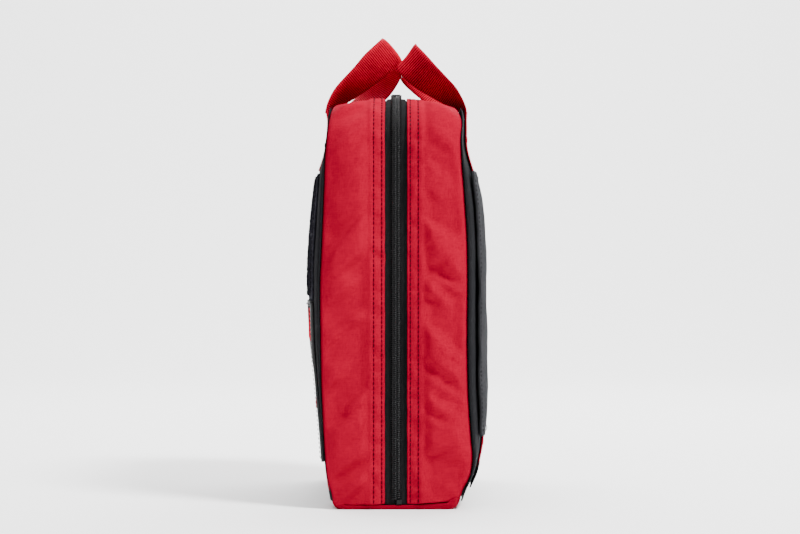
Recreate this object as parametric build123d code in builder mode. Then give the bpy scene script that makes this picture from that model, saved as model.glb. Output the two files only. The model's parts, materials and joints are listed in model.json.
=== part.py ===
from build123d import *
import os

# First aid kit: a clamshell bag that opens round a fold in its base, closed by a zip that
# runs up one side, over the top and down the other.  Millimetres.  +X is the bag's width,
# +Y runs from the front to the back, +Z is up.  The origin is under the zip, on the floor.

os.makedirs("parts", exist_ok=True)

# ---------------------------------------------------------------- driving dimensions
WIDTH = 220                # across the front, side gusset to side gusset
HEIGHT = 292               # floor to the zip on top
CORNER = 35                # radius of the two upper corners
FABRIC = 2                 # gusset wall, outer canvas with its lining
BASE = 4                   # bottom panel with its foam board
HALF_GAP = 0.8             # each half stops this far from the zip's plane
HEM = 7.7                  # gusset hem to the zip's centre line
SHOULDER = 284             # height of the top seams, where the top slopes down to
REACH = 90                 # further out than any panel, used by cutting solids
SIDE_ROOM = 12             # margin beyond the bag's width, used by cutting solids

TAPE = 0.8                 # zip tape thickness
TAPE_EDGE = 17             # hidden edge of the zip tape, from the zip's plane
COIL = 2.6                 # coil chain thickness
COIL_NEAR = 0.6            # coil row, nearest and furthest from the zip's plane
COIL_FAR = 3.1
COIL_PROUD = 0.6           # the coil stands proud of the gusset

WEBBING = 25               # handle and strap webbing
WEBBING_THICK = 1.6

# side outlines as (y, z), bottom to top: where each panel is sewn to its gusset ...
FRONT_SEAM = [(-45, 0), (-50, 35), (-53, 160), (-48.5, 250), (-46, HEIGHT)]
BACK_SEAM = [(45.5, 0), (52.5, 38), (49, 150), (44.5, 262), (41.5, HEIGHT)]
# ... and how far each padded panel bulges at the middle of the bag
FRONT_BULGE = [(-46.5, 0), (-53, 45), (-62.5, 165), (-52, 250), (-47.7, HEIGHT)]
BACK_BULGE = [(47.5, 0), (60, 35), (63, 150), (50, 250), (43.5, HEIGHT)]
# bulge across the width: at the side seams and at the middle
FRONT_CROWN = (-55, -64)
BACK_CROWN = (56, 65)



# ---------------------------------------------------------------- cutting solids
def side_solid(outline, lift=0):
    """Everything from the zip's plane out to a side outline of (y, z) points."""
    away = lift if outline[0][0] > 0 else -lift
    points = [(y + away, z) for y, z in outline]
    with BuildPart() as solid:
        with BuildSketch(Plane.YZ.offset(-WIDTH / 2 - SIDE_ROOM)):
            with BuildLine():
                curve = Spline(*points)
                Polyline(curve @ 1, (0, points[-1][1]), (0, points[0][1]), curve @ 0)
            make_face()
        extrude(amount=WIDTH + 2 * SIDE_ROOM)
    return solid.part


def crown_solid(crown, lift=0):
    """Everything from the zip's plane out to a shallow arc across the width."""
    edge, middle = crown
    away = lift if middle > 0 else -lift
    half = WIDTH / 2
    with BuildPart() as solid:
        with BuildSketch(Plane.XY.offset(-1)):
            with BuildLine():
                ThreePointArc((-half, edge + away), (0, middle + away), (half, edge + away))
                Polyline((half, edge + away), (half, 0), (-half, 0), (-half, edge + away))
            make_face()
        extrude(amount=HEIGHT + 2)
    return solid.part


def roof_solid(side, drop=0):
    """Everything under the sloped top of one half; side is -1 for the front, 1 for the back."""
    top = HEIGHT - drop
    fall = (HEIGHT - SHOULDER) / (46 - TAPE_EDGE)
    with BuildPart() as solid:
        with BuildSketch(Plane.YZ.offset(-WIDTH / 2 - SIDE_ROOM)):
            with BuildLine():
                Polyline(
                    (0, -1),
                    (0, top),
                    (side * TAPE_EDGE, top),
                    (side * REACH, top - fall * (REACH - TAPE_EDGE)),
                    (side * REACH, -1),
                    close=True,
                )
            make_face()
        extrude(amount=WIDTH + 2 * SIDE_ROOM)
    return solid.part


def outline_prism(inset, y_low, y_high, floor=BASE):
    """The bag's outline seen from the front, inset all round, between two depths."""
    with BuildPart() as prism:
        with BuildSketch(Plane.XZ.offset(-y_high)) as outline:
            with Locations((0, floor)):
                Rectangle(
                    WIDTH - 2 * inset,
                    HEIGHT - inset - floor,
                    align=(Align.CENTER, Align.MIN),
                )
            fillet(outline.vertices().group_by(Axis.Y)[-1], CORNER - inset)
        extrude(amount=y_high - y_low)
    return prism.part


def depth_range(side, near, far):
    """Two depths on one side of the zip's plane, in rising order of y."""
    return sorted((side * near, side * far))


SEAM = {-1: FRONT_SEAM, 1: BACK_SEAM}
BULGE = {-1: FRONT_BULGE, 1: BACK_BULGE}
CROWN = {-1: FRONT_CROWN, 1: BACK_CROWN}
HALF_NAME = {-1: "front", 1: "back"}


def panel_outside(side, lift):
    """Everything inside a padded panel's outer face, with that face lifted by some layers."""
    bulged = side_solid(BULGE[side], lift)
    crowned = crown_solid(CROWN[side], lift)
    return bulged & crowned


def finish(piece, name):
    """Labels one finished piece and writes it to its own file."""
    piece.label = name
    export_step(piece, f"parts/{name}.step")


# ---------------------------------------------------------------- shell of each half
for side, half in HALF_NAME.items():
    ring = depth_range(side, HEM, REACH)
    wide = depth_range(side, 0, REACH)
    seam = side_solid(SEAM[side])
    roof = roof_solid(side)
    cavity = outline_prism(FABRIC, *wide, floor=-1) & roof_solid(side, FABRIC)

    # side and top gusset: one long strip of canvas bent into an arch
    with BuildPart() as gusset:
        add(outline_prism(0, *ring))
        add(seam, mode=Mode.INTERSECT)
        add(roof, mode=Mode.INTERSECT)
        add(cavity, mode=Mode.SUBTRACT)
    finish(gusset.part, f"{half}_gusset")

    # bottom panel: the two halves meet at the fold that the clamshell opens on
    with BuildPart() as base:
        with BuildSketch(Plane.XY) as plan:
            near, far = depth_range(side, HALF_GAP, abs(SEAM[side][0][0]))
            with Locations((0, (near + far) / 2)):
                Rectangle(WIDTH, far - near)
            outer = plan.vertices().sort_by(Axis.Y)
            fillet(outer[:2] if side < 0 else outer[-2:], 6)
        extrude(amount=BASE)
        outer_bottom = base.edges().group_by(Axis.Z)[0].sort_by(Axis.Y)
        chamfer(outer_bottom[0] if side < 0 else outer_bottom[-1], 1.5)
    finish(base.part, f"{half}_base")

    # padded panel, sewn to the gusset all round
    with BuildPart() as panel:
        add(outline_prism(0, *wide, floor=0.5))
        add(roof, mode=Mode.INTERSECT)
        add(panel_outside(side, 0), mode=Mode.INTERSECT)
        add(seam, mode=Mode.SUBTRACT)
    finish(panel.part, f"{half}_panel")

    # foam sheet and lining behind the panel, inside the gusset
    for layer, outside, inside in (("foam", 0, 3), ("lining", 3, 4)):
        with BuildPart() as sheet:
            add(outline_prism(FABRIC + 0.2, *wide, floor=BASE + 0.2))
            add(roof_solid(side, FABRIC + 0.2), mode=Mode.INTERSECT)
            add(side_solid(SEAM[side], -outside), mode=Mode.INTERSECT)
            add(side_solid(SEAM[side], -inside), mode=Mode.SUBTRACT)
        finish(sheet.part, f"{half}_{layer}")

    # binding tape over the raw edges of the inside seam
    with BuildPart() as binding:
        add(outline_prism(FABRIC, *wide, floor=BASE))
        add(roof_solid(side, FABRIC), mode=Mode.INTERSECT)
        add(side_solid(SEAM[side], -4.2), mode=Mode.INTERSECT)
        add(side_solid(SEAM[side], -12), mode=Mode.SUBTRACT)
        inner = outline_prism(FABRIC + 1, *wide, floor=-1) & roof_solid(side, FABRIC + 1)
        add(inner, mode=Mode.SUBTRACT)
    finish(binding.part, f"{half}_seam_binding")

    # zip tape, under the hem, and its row of coil
    tape_depth = depth_range(side, 1.2, TAPE_EDGE - 1)
    with BuildPart() as tape:
        add(outline_prism(FABRIC, *tape_depth, floor=BASE))
        add(outline_prism(FABRIC + TAPE, *wide, floor=-1), mode=Mode.SUBTRACT)
    finish(tape.part, f"{half}_zip_tape")

    coil_depth = depth_range(side, COIL_NEAR, COIL_FAR)
    with BuildPart() as coil:
        add(outline_prism(-COIL_PROUD, *coil_depth, floor=BASE + 3))
        add(outline_prism(COIL - COIL_PROUD, *wide, floor=-1), mode=Mode.SUBTRACT)
    finish(coil.part, f"{half}_zip_coil")


# ---------------------------------------------------------------- layers on the panels
def patch(side, low, high, x_low, x_high, z_low, z_high, radius):
    """A layer lying on a padded panel, from lift low to lift high, over a rounded rectangle."""
    with BuildPart() as layer:
        with BuildSketch(Plane.XZ.offset(-REACH if side > 0 else 0)) as area:
            with Locations(((x_low + x_high) / 2, (z_low + z_high) / 2)):
                RectangleRounded(x_high - x_low, z_high - z_low, radius)
        extrude(amount=REACH)
        add(panel_outside(side, high), mode=Mode.INTERSECT)
        add(panel_outside(side, low), mode=Mode.SUBTRACT)
    return layer.part


PATCH_HALF = 98            # half width of the patches on the panels
LOOP_LOW, LOOP_HIGH = 147, 236
with BuildPart() as loop_panel:
    add(patch(-1, 0, 2.6, -PATCH_HALF, PATCH_HALF, LOOP_LOW, LOOP_HIGH, 6))
finish(loop_panel.part, "loop_panel")

# lashing panel: a laminate sheet with two rows of cut windows over red webbing
LASH_LOW = 32
WINDOW_ROWS = (83, 130)
WINDOW_HIGH = 25
WINDOW_WIDE = 32
WINDOW_PITCH = 38
for row, height in zip(("lower", "upper"), WINDOW_ROWS):
    with BuildPart() as lash:
        add(patch(-1, 0, 1.2, -PATCH_HALF + 1, PATCH_HALF - 1, height - 14, height + 14, 1))
    finish(lash.part, f"lashing_webbing_{row}")

with BuildPart() as lashing_panel:
    add(patch(-1, 1.2, 2.4, -PATCH_HALF, PATCH_HALF, LASH_LOW, LOOP_LOW, 6))
    with BuildSketch(Plane.XZ):
        with Locations((0, sum(WINDOW_ROWS) / 2)):
            with GridLocations(WINDOW_PITCH, WINDOW_ROWS[1] - WINDOW_ROWS[0], 5, 2):
                RectangleRounded(WINDOW_WIDE, WINDOW_HIGH, 4)
    extrude(amount=REACH, mode=Mode.SUBTRACT)
finish(lashing_panel.part, "lashing_panel")

with BuildPart() as lashing_backer:
    add(patch(-1, 0, 1.2, -PATCH_HALF, PATCH_HALF, LASH_LOW, LOOP_LOW, 6))
    for height in WINDOW_ROWS:
        with BuildSketch(Plane.XZ):
            with Locations((0, height)):
                RectangleRounded(2 * PATCH_HALF - 1.6, 28.4, 1.2)
        extrude(amount=REACH, mode=Mode.SUBTRACT)
finish(lashing_backer.part, "lashing_backer")

# back: two webbing straps run down from the handle, under a sleeve, to a strip at the foot
STRAP_X = 56
SLEEVE_LOW, SLEEVE_HIGH = 50, 238
with BuildPart() as back_straps:
    for x in (-STRAP_X, STRAP_X):
        add(patch(1, 0, WEBBING_THICK, x - WEBBING / 2, x + WEBBING / 2, 26, 278, 0.5))
finish(back_straps.part, "back_straps")

with BuildPart() as back_sleeve:
    add(patch(1, WEBBING_THICK, 4, -PATCH_HALF, PATCH_HALF, SLEEVE_LOW, SLEEVE_HIGH, 6))
finish(back_sleeve.part, "back_sleeve")

with BuildPart() as back_foot_strip:
    add(patch(1, WEBBING_THICK, 3, -PATCH_HALF, PATCH_HALF, 12, 30, 2))
finish(back_foot_strip.part, "back_foot_strip")

with BuildPart() as back_bar_tacks:
    for x in (-STRAP_X, STRAP_X):
        for height in (43, 262):
            tack = (x - 11, x + 11, height - 1.2, height + 1.2)
            add(patch(1, WEBBING_THICK, WEBBING_THICK + 0.7, *tack, 1))
finish(back_bar_tacks.part, "back_bar_tacks")

FRONT_STRAP_X = 42
with BuildPart() as front_strap_ends:
    for x in (-FRONT_STRAP_X, FRONT_STRAP_X):
        add(patch(-1, 0, WEBBING_THICK, x - WEBBING / 2, x + WEBBING / 2, 240, 277, 0.5))
finish(front_strap_ends.part, "front_strap_ends")

with BuildPart() as front_bar_tacks:
    for x in (-FRONT_STRAP_X, FRONT_STRAP_X):
        tack = (x - 11, x + 11, 258, 260.4)
        add(patch(-1, WEBBING_THICK, WEBBING_THICK + 0.7, *tack, 1))
finish(front_bar_tacks.part, "front_bar_tacks")


# ---------------------------------------------------------------- handles
def handle(root, top, leg_x, inner, outer):
    """A webbing loop leaning from its root to its top, both (y, z).  Across the loop the
    webbing reaches inner towards the other handle and outer away from it."""
    side = 1 if root[0] > 0 else -1
    rise = Vector(0, top[0] - root[0], top[1] - root[1])
    across = Vector(1, 0, 0).cross(rise)
    start, end = (-inner, outer) if side < 0 else (-outer, inner)
    loop_plane = Plane(origin=(0, *root), x_dir=(1, 0, 0), z_dir=across).offset(start)
    with BuildPart() as loop:
        with BuildSketch(loop_plane):
            with BuildSketch(mode=Mode.PRIVATE) as outside:
                Rectangle(2 * leg_x, rise.length, align=(Align.CENTER, Align.MIN))
                fillet(outside.vertices().group_by(Axis.Y)[-1], HANDLE_BEND)
            add(outside.sketch)
            offset(outside.sketch, -WEBBING_THICK, mode=Mode.SUBTRACT)
            with Locations((0, 0)):
                Rectangle(2 * leg_x - 2 * WEBBING_THICK, HANDLE_BEND, mode=Mode.SUBTRACT)
        extrude(amount=end - start)
        add(roof_solid(side, -ROOF_ROOM), mode=Mode.SUBTRACT)
    return loop.part


HANDLE_BEND = 26
ROOF_ROOM = 2              # the loops stay this far above the bag's sloping top
FRONT_ROOT = (-50.5, 284)
BACK_ROOT = (50.5, 282)
finish(handle(FRONT_ROOT, (-2.5, 329), FRONT_STRAP_X + 3, 5, 12), "front_handle")
finish(handle(BACK_ROOT, (11, 325.5), STRAP_X - 4, 4, 12), "back_handle")


# ---------------------------------------------------------------- zip sliders
SLIDER_X = 12
SLIDER_LONG = 14
PLATE_LOW = HEIGHT + COIL_PROUD + 0.5
PLATE_HIGH = PLATE_LOW + 1.5
UNDER_HIGH = HEIGHT - FABRIC - TAPE - 0.5
UNDER_LOW = UNDER_HIGH - 1.5
PIN_Z = PLATE_HIGH + 2.0
PIN_RADIUS = 0.8
TAB_LONG = 15
TAB_WIDE = 6


def box_between(x_low, x_high, y_low, y_high, z_low, z_high):
    """A box given by its limits, joined to the part being built."""
    with Locations(((x_low + x_high) / 2, (y_low + y_high) / 2, (z_low + z_high) / 2)):
        Box(x_high - x_low, y_high - y_low, z_high - z_low)


def slider(x):
    """A slider body: a plate over the coils and one under the tapes, joined by a thin neck
    between the coil rows, with a lip on the back half's side and two lugs for the tab."""
    low, high = x - SLIDER_LONG / 2, x + SLIDER_LONG / 2
    with BuildPart() as body:
        box_between(low, high, -5.2, 5.6, PLATE_LOW, PLATE_HIGH)
        box_between(low, high, -5.2, 5.6, UNDER_LOW, UNDER_HIGH)
        fillet(body.edges().filter_by(Axis.Z), 2)
        box_between(x - 3, x + 3, -0.3, 0.3, UNDER_HIGH - 0.2, PLATE_LOW + 0.2)
        box_between(low + 2, high - 2, 4.6, 5.6, HEIGHT - FABRIC + 0.5, PLATE_LOW + 0.2)
        for y in (-3.4, 3.4):
            box_between(x - 1.8, x + 1.8, y - 0.6, y + 0.6, PLATE_HIGH - 0.2, PIN_Z + 1.4)
        with Locations(Location((x, 0, PIN_Z), (90, 0, 0))):
            Cylinder(PIN_RADIUS, 7.2)
    return body.part


def pull_tab(x, away):
    """A pull tab that lies along the zip, away from the middle of the bag."""
    with BuildPart() as tab:
        with Locations(Location((x, 0, PIN_Z), (90, 0, 0))):
            Cylinder(PIN_RADIUS + 0.9, 5.2)
        near, far = sorted((x, x + away * TAB_LONG))
        box_between(near, far, -TAB_WIDE / 2 + 0.4, TAB_WIDE / 2 - 0.4, PIN_Z - 0.6, PIN_Z + 0.6)
        grip_near, grip_far = sorted((x + away * 5, x + away * TAB_LONG))
        box_between(grip_near, grip_far, -TAB_WIDE / 2, TAB_WIDE / 2, PIN_Z - 0.8, PIN_Z + 0.8)
        with Locations(Location((x, 0, PIN_Z), (90, 0, 0))):
            Cylinder(PIN_RADIUS + 0.08, 12, mode=Mode.SUBTRACT)
    return tab.part


for name, away in (("left", -1), ("right", 1)):
    finish(slider(away * SLIDER_X), f"slider_{name}")
    finish(pull_tab(away * SLIDER_X, away), f"pull_tab_{name}")

with BuildPart() as zip_stops:
    for side in (-1, 1):
        inner_face = side * (WIDTH / 2 - FABRIC)
        near, far = sorted((inner_face, inner_face + side * COIL))
        box_between(near, far, COIL_NEAR, COIL_FAR + 1, BASE, BASE + 3)
finish(zip_stops.part, "zip_stops")


# ---------------------------------------------------------------- supplies, back half
ROLL_RADIUS = 16.5
ROLL_PITCH = 37
ROLL_Y = 22.8
ROLL_LOW, ROLL_HIGH = 150, 250
LOOP_BAND = (190, 215)
ROLL_NAMES = (
    "gauze_roll_1",
    "elastic_bandage_1",
    "gauze_roll_2",
    "elastic_bandage_2",
    "gauze_roll_3",
)
ROLL_X = [(index - 2) * ROLL_PITCH for index in range(len(ROLL_NAMES))]

for name, x in zip(ROLL_NAMES, ROLL_X):
    with BuildPart() as roll:
        with BuildSketch(Plane.XY.offset(ROLL_LOW)):
            with Locations((x, ROLL_Y)):
                Circle(ROLL_RADIUS)
                Circle(3.5, mode=Mode.SUBTRACT)
        extrude(amount=ROLL_HIGH - ROLL_LOW)
        fillet(roll.edges().filter_by(GeomType.CIRCLE).sort_by(SortBy.RADIUS)[-2:], 2)
    finish(roll.part, name)

with BuildPart() as roll_loops:
    with BuildSketch(Plane.XY.offset(LOOP_BAND[0])):
        for x in ROLL_X:
            with Locations((x, ROLL_Y)):
                Circle(ROLL_RADIUS + 1.1)
        with Locations((0, ROLL_Y + ROLL_RADIUS + 0.7)):
            Rectangle(2 * PATCH_HALF, 1)
        for x in ROLL_X:
            with Locations((x, ROLL_Y)):
                Circle(ROLL_RADIUS, mode=Mode.SUBTRACT)
    extrude(amount=LOOP_BAND[1] - LOOP_BAND[0])
finish(roll_loops.part, "roll_loops")


def flat_pack(x_low, x_high, y_low, y_high, z_low, z_high):
    """A soft flat pack with rounded corners."""
    with BuildPart() as pack:
        with BuildSketch(Plane.XZ.offset(-y_high)):
            with Locations(((x_low + x_high) / 2, (z_low + z_high) / 2)):
                RectangleRounded(x_high - x_low, z_high - z_low, 5)
        extrude(amount=y_high - y_low)
        fillet(pack.faces().filter_by(Axis.Y).edges(), 3)
    return pack.part


def mesh_pocket(side, y_front, y_back, z_high):
    """An open-topped pocket of thin mesh, standing off the lining."""
    near, far = depth_range(side, y_front, y_back)
    with BuildPart() as pocket:
        box_between(-100, 100, near, far, BASE + 1, z_high)
        inner = depth_range(side, y_front + 0.8, y_back + 1)
        with Locations((0, sum(inner) / 2, (BASE + 1.8 + z_high + 10) / 2)):
            Box(198.4, inner[1] - inner[0], z_high + 10 - BASE - 1.8, mode=Mode.SUBTRACT)
    return pocket.part


def pocket_hem(side, y_front, z_high):
    """The elastic binding along a pocket's mouth."""
    near, far = depth_range(side, y_front - 1, y_front)
    with BuildPart() as hem:
        box_between(-100, 100, near, far, z_high - 8, z_high)
    return hem.part


finish(flat_pack(-96, -3, 27, 39.5, 10, 112), "dressing_pack_1")
finish(flat_pack(3, 96, 27, 39.5, 10, 112), "dressing_pack_2")
finish(mesh_pocket(1, 25, 40.5, 120), "back_pocket")
finish(pocket_hem(1, 25, 120), "back_pocket_hem")

# ---------------------------------------------------------------- supplies, front half
finish(flat_pack(-96, -3, -40, -28, 10, 118), "glove_pack")
finish(flat_pack(3, 96, -40, -28, 10, 118), "rescue_blanket_pack")
finish(mesh_pocket(-1, 26, 40.5, 126), "front_pocket")
finish(pocket_hem(-1, 26, 126), "front_pocket_hem")

TAPE_ROLL_X, TAPE_ROLL_Z = -62, 200
for name, outer_radius, inner_radius in (("tape_roll", 31, 16), ("tape_core", 16, 14)):
    with BuildPart() as ring:
        with BuildSketch(Plane.XZ.offset(17)):
            with Locations((TAPE_ROLL_X, TAPE_ROLL_Z)):
                Circle(outer_radius)
                Circle(inner_radius, mode=Mode.SUBTRACT)
        extrude(amount=25)
    finish(ring.part, name)

# tourniquet: a strap folded flat on itself, its buckle and its windlass rod
with BuildPart() as tourniquet_strap:
    with BuildSketch(Plane.YZ.offset(-22)):
        with Locations((-34, 205)):
            RectangleRounded(12, 110, 5.5)
            RectangleRounded(6, 104, 2.5, mode=Mode.SUBTRACT)
    extrude(amount=38)
finish(tourniquet_strap.part, "tourniquet_strap")

with BuildPart() as tourniquet_buckle:
    with BuildSketch(Plane.XZ.offset(25)):
        with Locations((-3, 178)):
            RectangleRounded(44, 34, 4)
            with Locations((0, -8), (0, 8)):
                RectangleRounded(38, 8, 2, mode=Mode.SUBTRACT)
    extrude(amount=3)
finish(tourniquet_buckle.part, "tourniquet_buckle")

with BuildPart() as tourniquet_windlass:
    with BuildSketch(Plane.XY.offset(200)):
        with Locations((-3, -23)):
            Circle(4.5)
    extrude(amount=54)
    fillet(tourniquet_windlass.edges(), 2)
finish(tourniquet_windlass.part, "tourniquet_windlass")

# shears: two crossed halves on a rivet, the lower one fixed to a pad on the lining
SHEARS_X, SHEARS_Z = 60, 196
SHEARS_LONG = 52           # blade, from the rivet
RING_RISE = 54             # finger rings, from the rivet
RING_SPREAD = 15
SHEARS_FACE = 37.3         # nearest face of the upper half to the zip's plane
SHEARS_THICK = 2.5
SHEARS_GAP = 0.3


def shears_half(hand, y_near):
    """One half: a blade on one side of the rivet, and its shank and ring on the other."""
    with BuildPart() as half:
        with BuildSketch(Plane.XZ.offset(y_near)):
            with Locations((SHEARS_X, SHEARS_Z)):
                Circle(6.5)
            with BuildLine():
                Polyline(
                    (SHEARS_X - hand * 6, SHEARS_Z),
                    (SHEARS_X - hand * 5.5, SHEARS_Z - SHEARS_LONG + 12),
                    (SHEARS_X + hand * 1, SHEARS_Z - SHEARS_LONG),
                    (SHEARS_X + hand * 2.5, SHEARS_Z),
                    close=True,
                )
            make_face()
            with BuildLine():
                Polyline(
                    (SHEARS_X - hand * 5, SHEARS_Z),
                    (SHEARS_X + hand * (RING_SPREAD - 5), SHEARS_Z + RING_RISE - 17),
                    (SHEARS_X + hand * (RING_SPREAD + 5), SHEARS_Z + RING_RISE - 17),
                    (SHEARS_X + hand * 6, SHEARS_Z),
                    close=True,
                )
            make_face()
            with Locations((SHEARS_X + hand * RING_SPREAD, SHEARS_Z + RING_RISE)):
                Ellipse(13, 20)
                Ellipse(8.5, 15.5, mode=Mode.SUBTRACT)
            with Locations((SHEARS_X, SHEARS_Z)):
                Circle(2.6, mode=Mode.SUBTRACT)
        extrude(amount=SHEARS_THICK)
    return half.part


finish(shears_half(1, SHEARS_FACE), "shears_upper_half")
finish(shears_half(-1, SHEARS_FACE + SHEARS_THICK + SHEARS_GAP), "shears_lower_half")

with BuildPart() as shears_rivet:
    with BuildSketch(Plane.XZ.offset(SHEARS_FACE - 0.4)):
        with Locations((SHEARS_X, SHEARS_Z)):
            Circle(2.5)
    extrude(amount=2 * SHEARS_THICK + SHEARS_GAP + 0.4)
finish(shears_rivet.part, "shears_rivet")

PAD_FACE = SHEARS_FACE + 2 * SHEARS_THICK + SHEARS_GAP
with BuildPart() as shears_pad:
    box_between(47, 57, -PAD_FACE - 3, -PAD_FACE, SHEARS_Z + 10, SHEARS_Z + 26)
finish(shears_pad.part, "shears_pad")

# tweezers: two arms joined at the top, lying flat on the lining
with BuildPart() as tweezers:
    with BuildSketch(Plane.XZ.offset(38)):
        with BuildLine():
            Polyline(
                (19, 260),
                (27, 260),
                (26, 170),
                (23.6, 170),
                (23.6, 250),
                (22.4, 250),
                (22.4, 170),
                (20, 170),
                close=True,
            )
        make_face()
    extrude(amount=4)
finish(tweezers.part, "tweezers")
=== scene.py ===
import json
import math
import random

import bpy
import numpy as np
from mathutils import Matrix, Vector, noise


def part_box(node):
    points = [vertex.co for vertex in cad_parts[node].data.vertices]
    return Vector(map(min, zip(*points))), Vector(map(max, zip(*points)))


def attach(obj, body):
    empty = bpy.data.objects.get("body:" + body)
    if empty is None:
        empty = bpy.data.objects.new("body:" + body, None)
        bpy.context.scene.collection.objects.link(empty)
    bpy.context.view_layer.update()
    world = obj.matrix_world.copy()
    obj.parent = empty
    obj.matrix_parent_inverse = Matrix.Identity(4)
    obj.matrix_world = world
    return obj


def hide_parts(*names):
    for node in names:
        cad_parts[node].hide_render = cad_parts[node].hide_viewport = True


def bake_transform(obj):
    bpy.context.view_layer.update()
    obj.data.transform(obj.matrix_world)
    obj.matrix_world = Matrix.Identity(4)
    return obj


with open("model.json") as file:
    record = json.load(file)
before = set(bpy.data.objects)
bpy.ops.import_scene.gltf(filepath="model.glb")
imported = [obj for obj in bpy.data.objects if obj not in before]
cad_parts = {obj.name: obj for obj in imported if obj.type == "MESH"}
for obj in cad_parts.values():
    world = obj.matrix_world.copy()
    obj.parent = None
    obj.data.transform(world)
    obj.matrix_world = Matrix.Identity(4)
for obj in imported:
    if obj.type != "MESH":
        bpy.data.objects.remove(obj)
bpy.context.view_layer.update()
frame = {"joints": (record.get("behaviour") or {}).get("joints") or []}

# First aid kit: a zipped clamshell bag of red canvas with black padded panels, webbing
# handles and stowed supplies.  Metres, in the frame's own axes.  All cloth is rebuilt here.

random.seed(7)
MM = 0.001


def box(node):
    """A node's lowest and highest corners, as two numpy rows."""
    low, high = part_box(node)
    return np.array(low), np.array(high)


# ---------------------------------------------------------------- dimensions from the frame
HALF_WIDTH = box("back_gusset")[1][0]
HEIGHT = box("back_gusset")[1][2]
HEM = box("back_gusset")[0][1]
CORNER = 35 * MM
SHOULDER_DROP = 8 * MM
BASE_SEAM = 4 * MM

# (y, z) in mm of each half's panel seam and of its bulge at the middle, bottom to top
FRONT_SEAM = [(-44.5, 0), (-48.3, 21), (-50.4, 49), (-51.8, 77), (-52.8, 120), (-53, 160),
              (-51.8, 189), (-50.6, 217), (-50.1, 231), (-49.5, 248), (-47.8, 264),
              (-46.4, 281), (-45.6, 292)]
BACK_SEAM = [(44.6, 0), (47.6, 14), (51.6, 24), (53.2, 34), (52.2, 50), (50.3, 80),
             (49.6, 110), (49.8, 160), (49.4, 190), (47.4, 222), (45.4, 248), (44.8, 262),
             (45.8, 273), (44, 292)]
FRONT_BULGE = [(-45.5, 0), (-47.2, 10), (-49, 25), (-50.4, 40), (-51.4, 55), (-52.4, 70),
               (-54.2, 85), (-56.8, 100), (-59, 115), (-60.4, 130), (-61.2, 145), (-61.8, 160),
               (-60.6, 190), (-57.6, 220), (-55.4, 235), (-53, 244), (-51, 252), (-49, 262),
               (-48.4, 272), (-48.4, 292)]
BACK_BULGE = [(46, 0), (50.8, 10), (55.5, 20), (58.8, 35), (61.6, 55), (62.2, 100), (62.2, 145),
              (62, 162), (61, 190), (58.4, 220), (55.4, 235), (52.6, 246), (50, 258),
              (49.8, 268), (49.4, 292)]


def smooth_curve(points):
    """A smooth depth over height through (y, z) points, in metres."""
    depth = np.array([p[0] for p in points]) * MM
    height = np.array([p[1] for p in points]) * MM
    slope = np.gradient(depth, height)

    def at(z):
        z = np.clip(np.asarray(z, float), height[0], height[-1])
        i = np.clip(np.searchsorted(height, z, side="right") - 1, 0, len(height) - 2)
        span = height[i + 1] - height[i]
        t = (z - height[i]) / span
        h00 = 2 * t**3 - 3 * t**2 + 1
        h10 = t**3 - 2 * t**2 + t
        h01 = -2 * t**3 + 3 * t**2
        h11 = t**3 - t**2
        start = h00 * depth[i] + h10 * span * slope[i]
        return start + h01 * depth[i + 1] + h11 * span * slope[i + 1]

    return at


# everything that comes in two halves is kept by side: -1 is the front half, 1 the back half
SEAM_DEPTH = {-1: smooth_curve([(y - 0.8, z) for y, z in FRONT_SEAM]),  # cloth outside the
              1: smooth_curve([(y + 1.2, z) for y, z in BACK_SEAM])}    # seam line, in mm
BULGE_DEPTH = {-1: smooth_curve(FRONT_BULGE), 1: smooth_curve(BACK_BULGE)}
HALF_NAME = {-1: "front", 1: "back"}
BODY = {-1: "front_half", 1: "back_half"}


def seam_at(side, z):
    """How far a half's panel seam lies from the zip's plane at height z."""
    return abs(float(SEAM_DEPTH[side](z)))


def smoothstep(t):
    t = np.clip(t, 0.0, 1.0)
    return t * t * (3 - 2 * t)


def fbm(x, y, z, octaves=3):
    """Soft noise of a few octaves, from -1 to 1."""
    total, gain = 0.0, 1.0
    for _ in range(octaves):
        total += gain * noise.noise(Vector((x, y, z)))
        x, y, z, gain = x * 2.03, y * 2.03, z * 2.03, gain * 0.5
    return total


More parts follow.
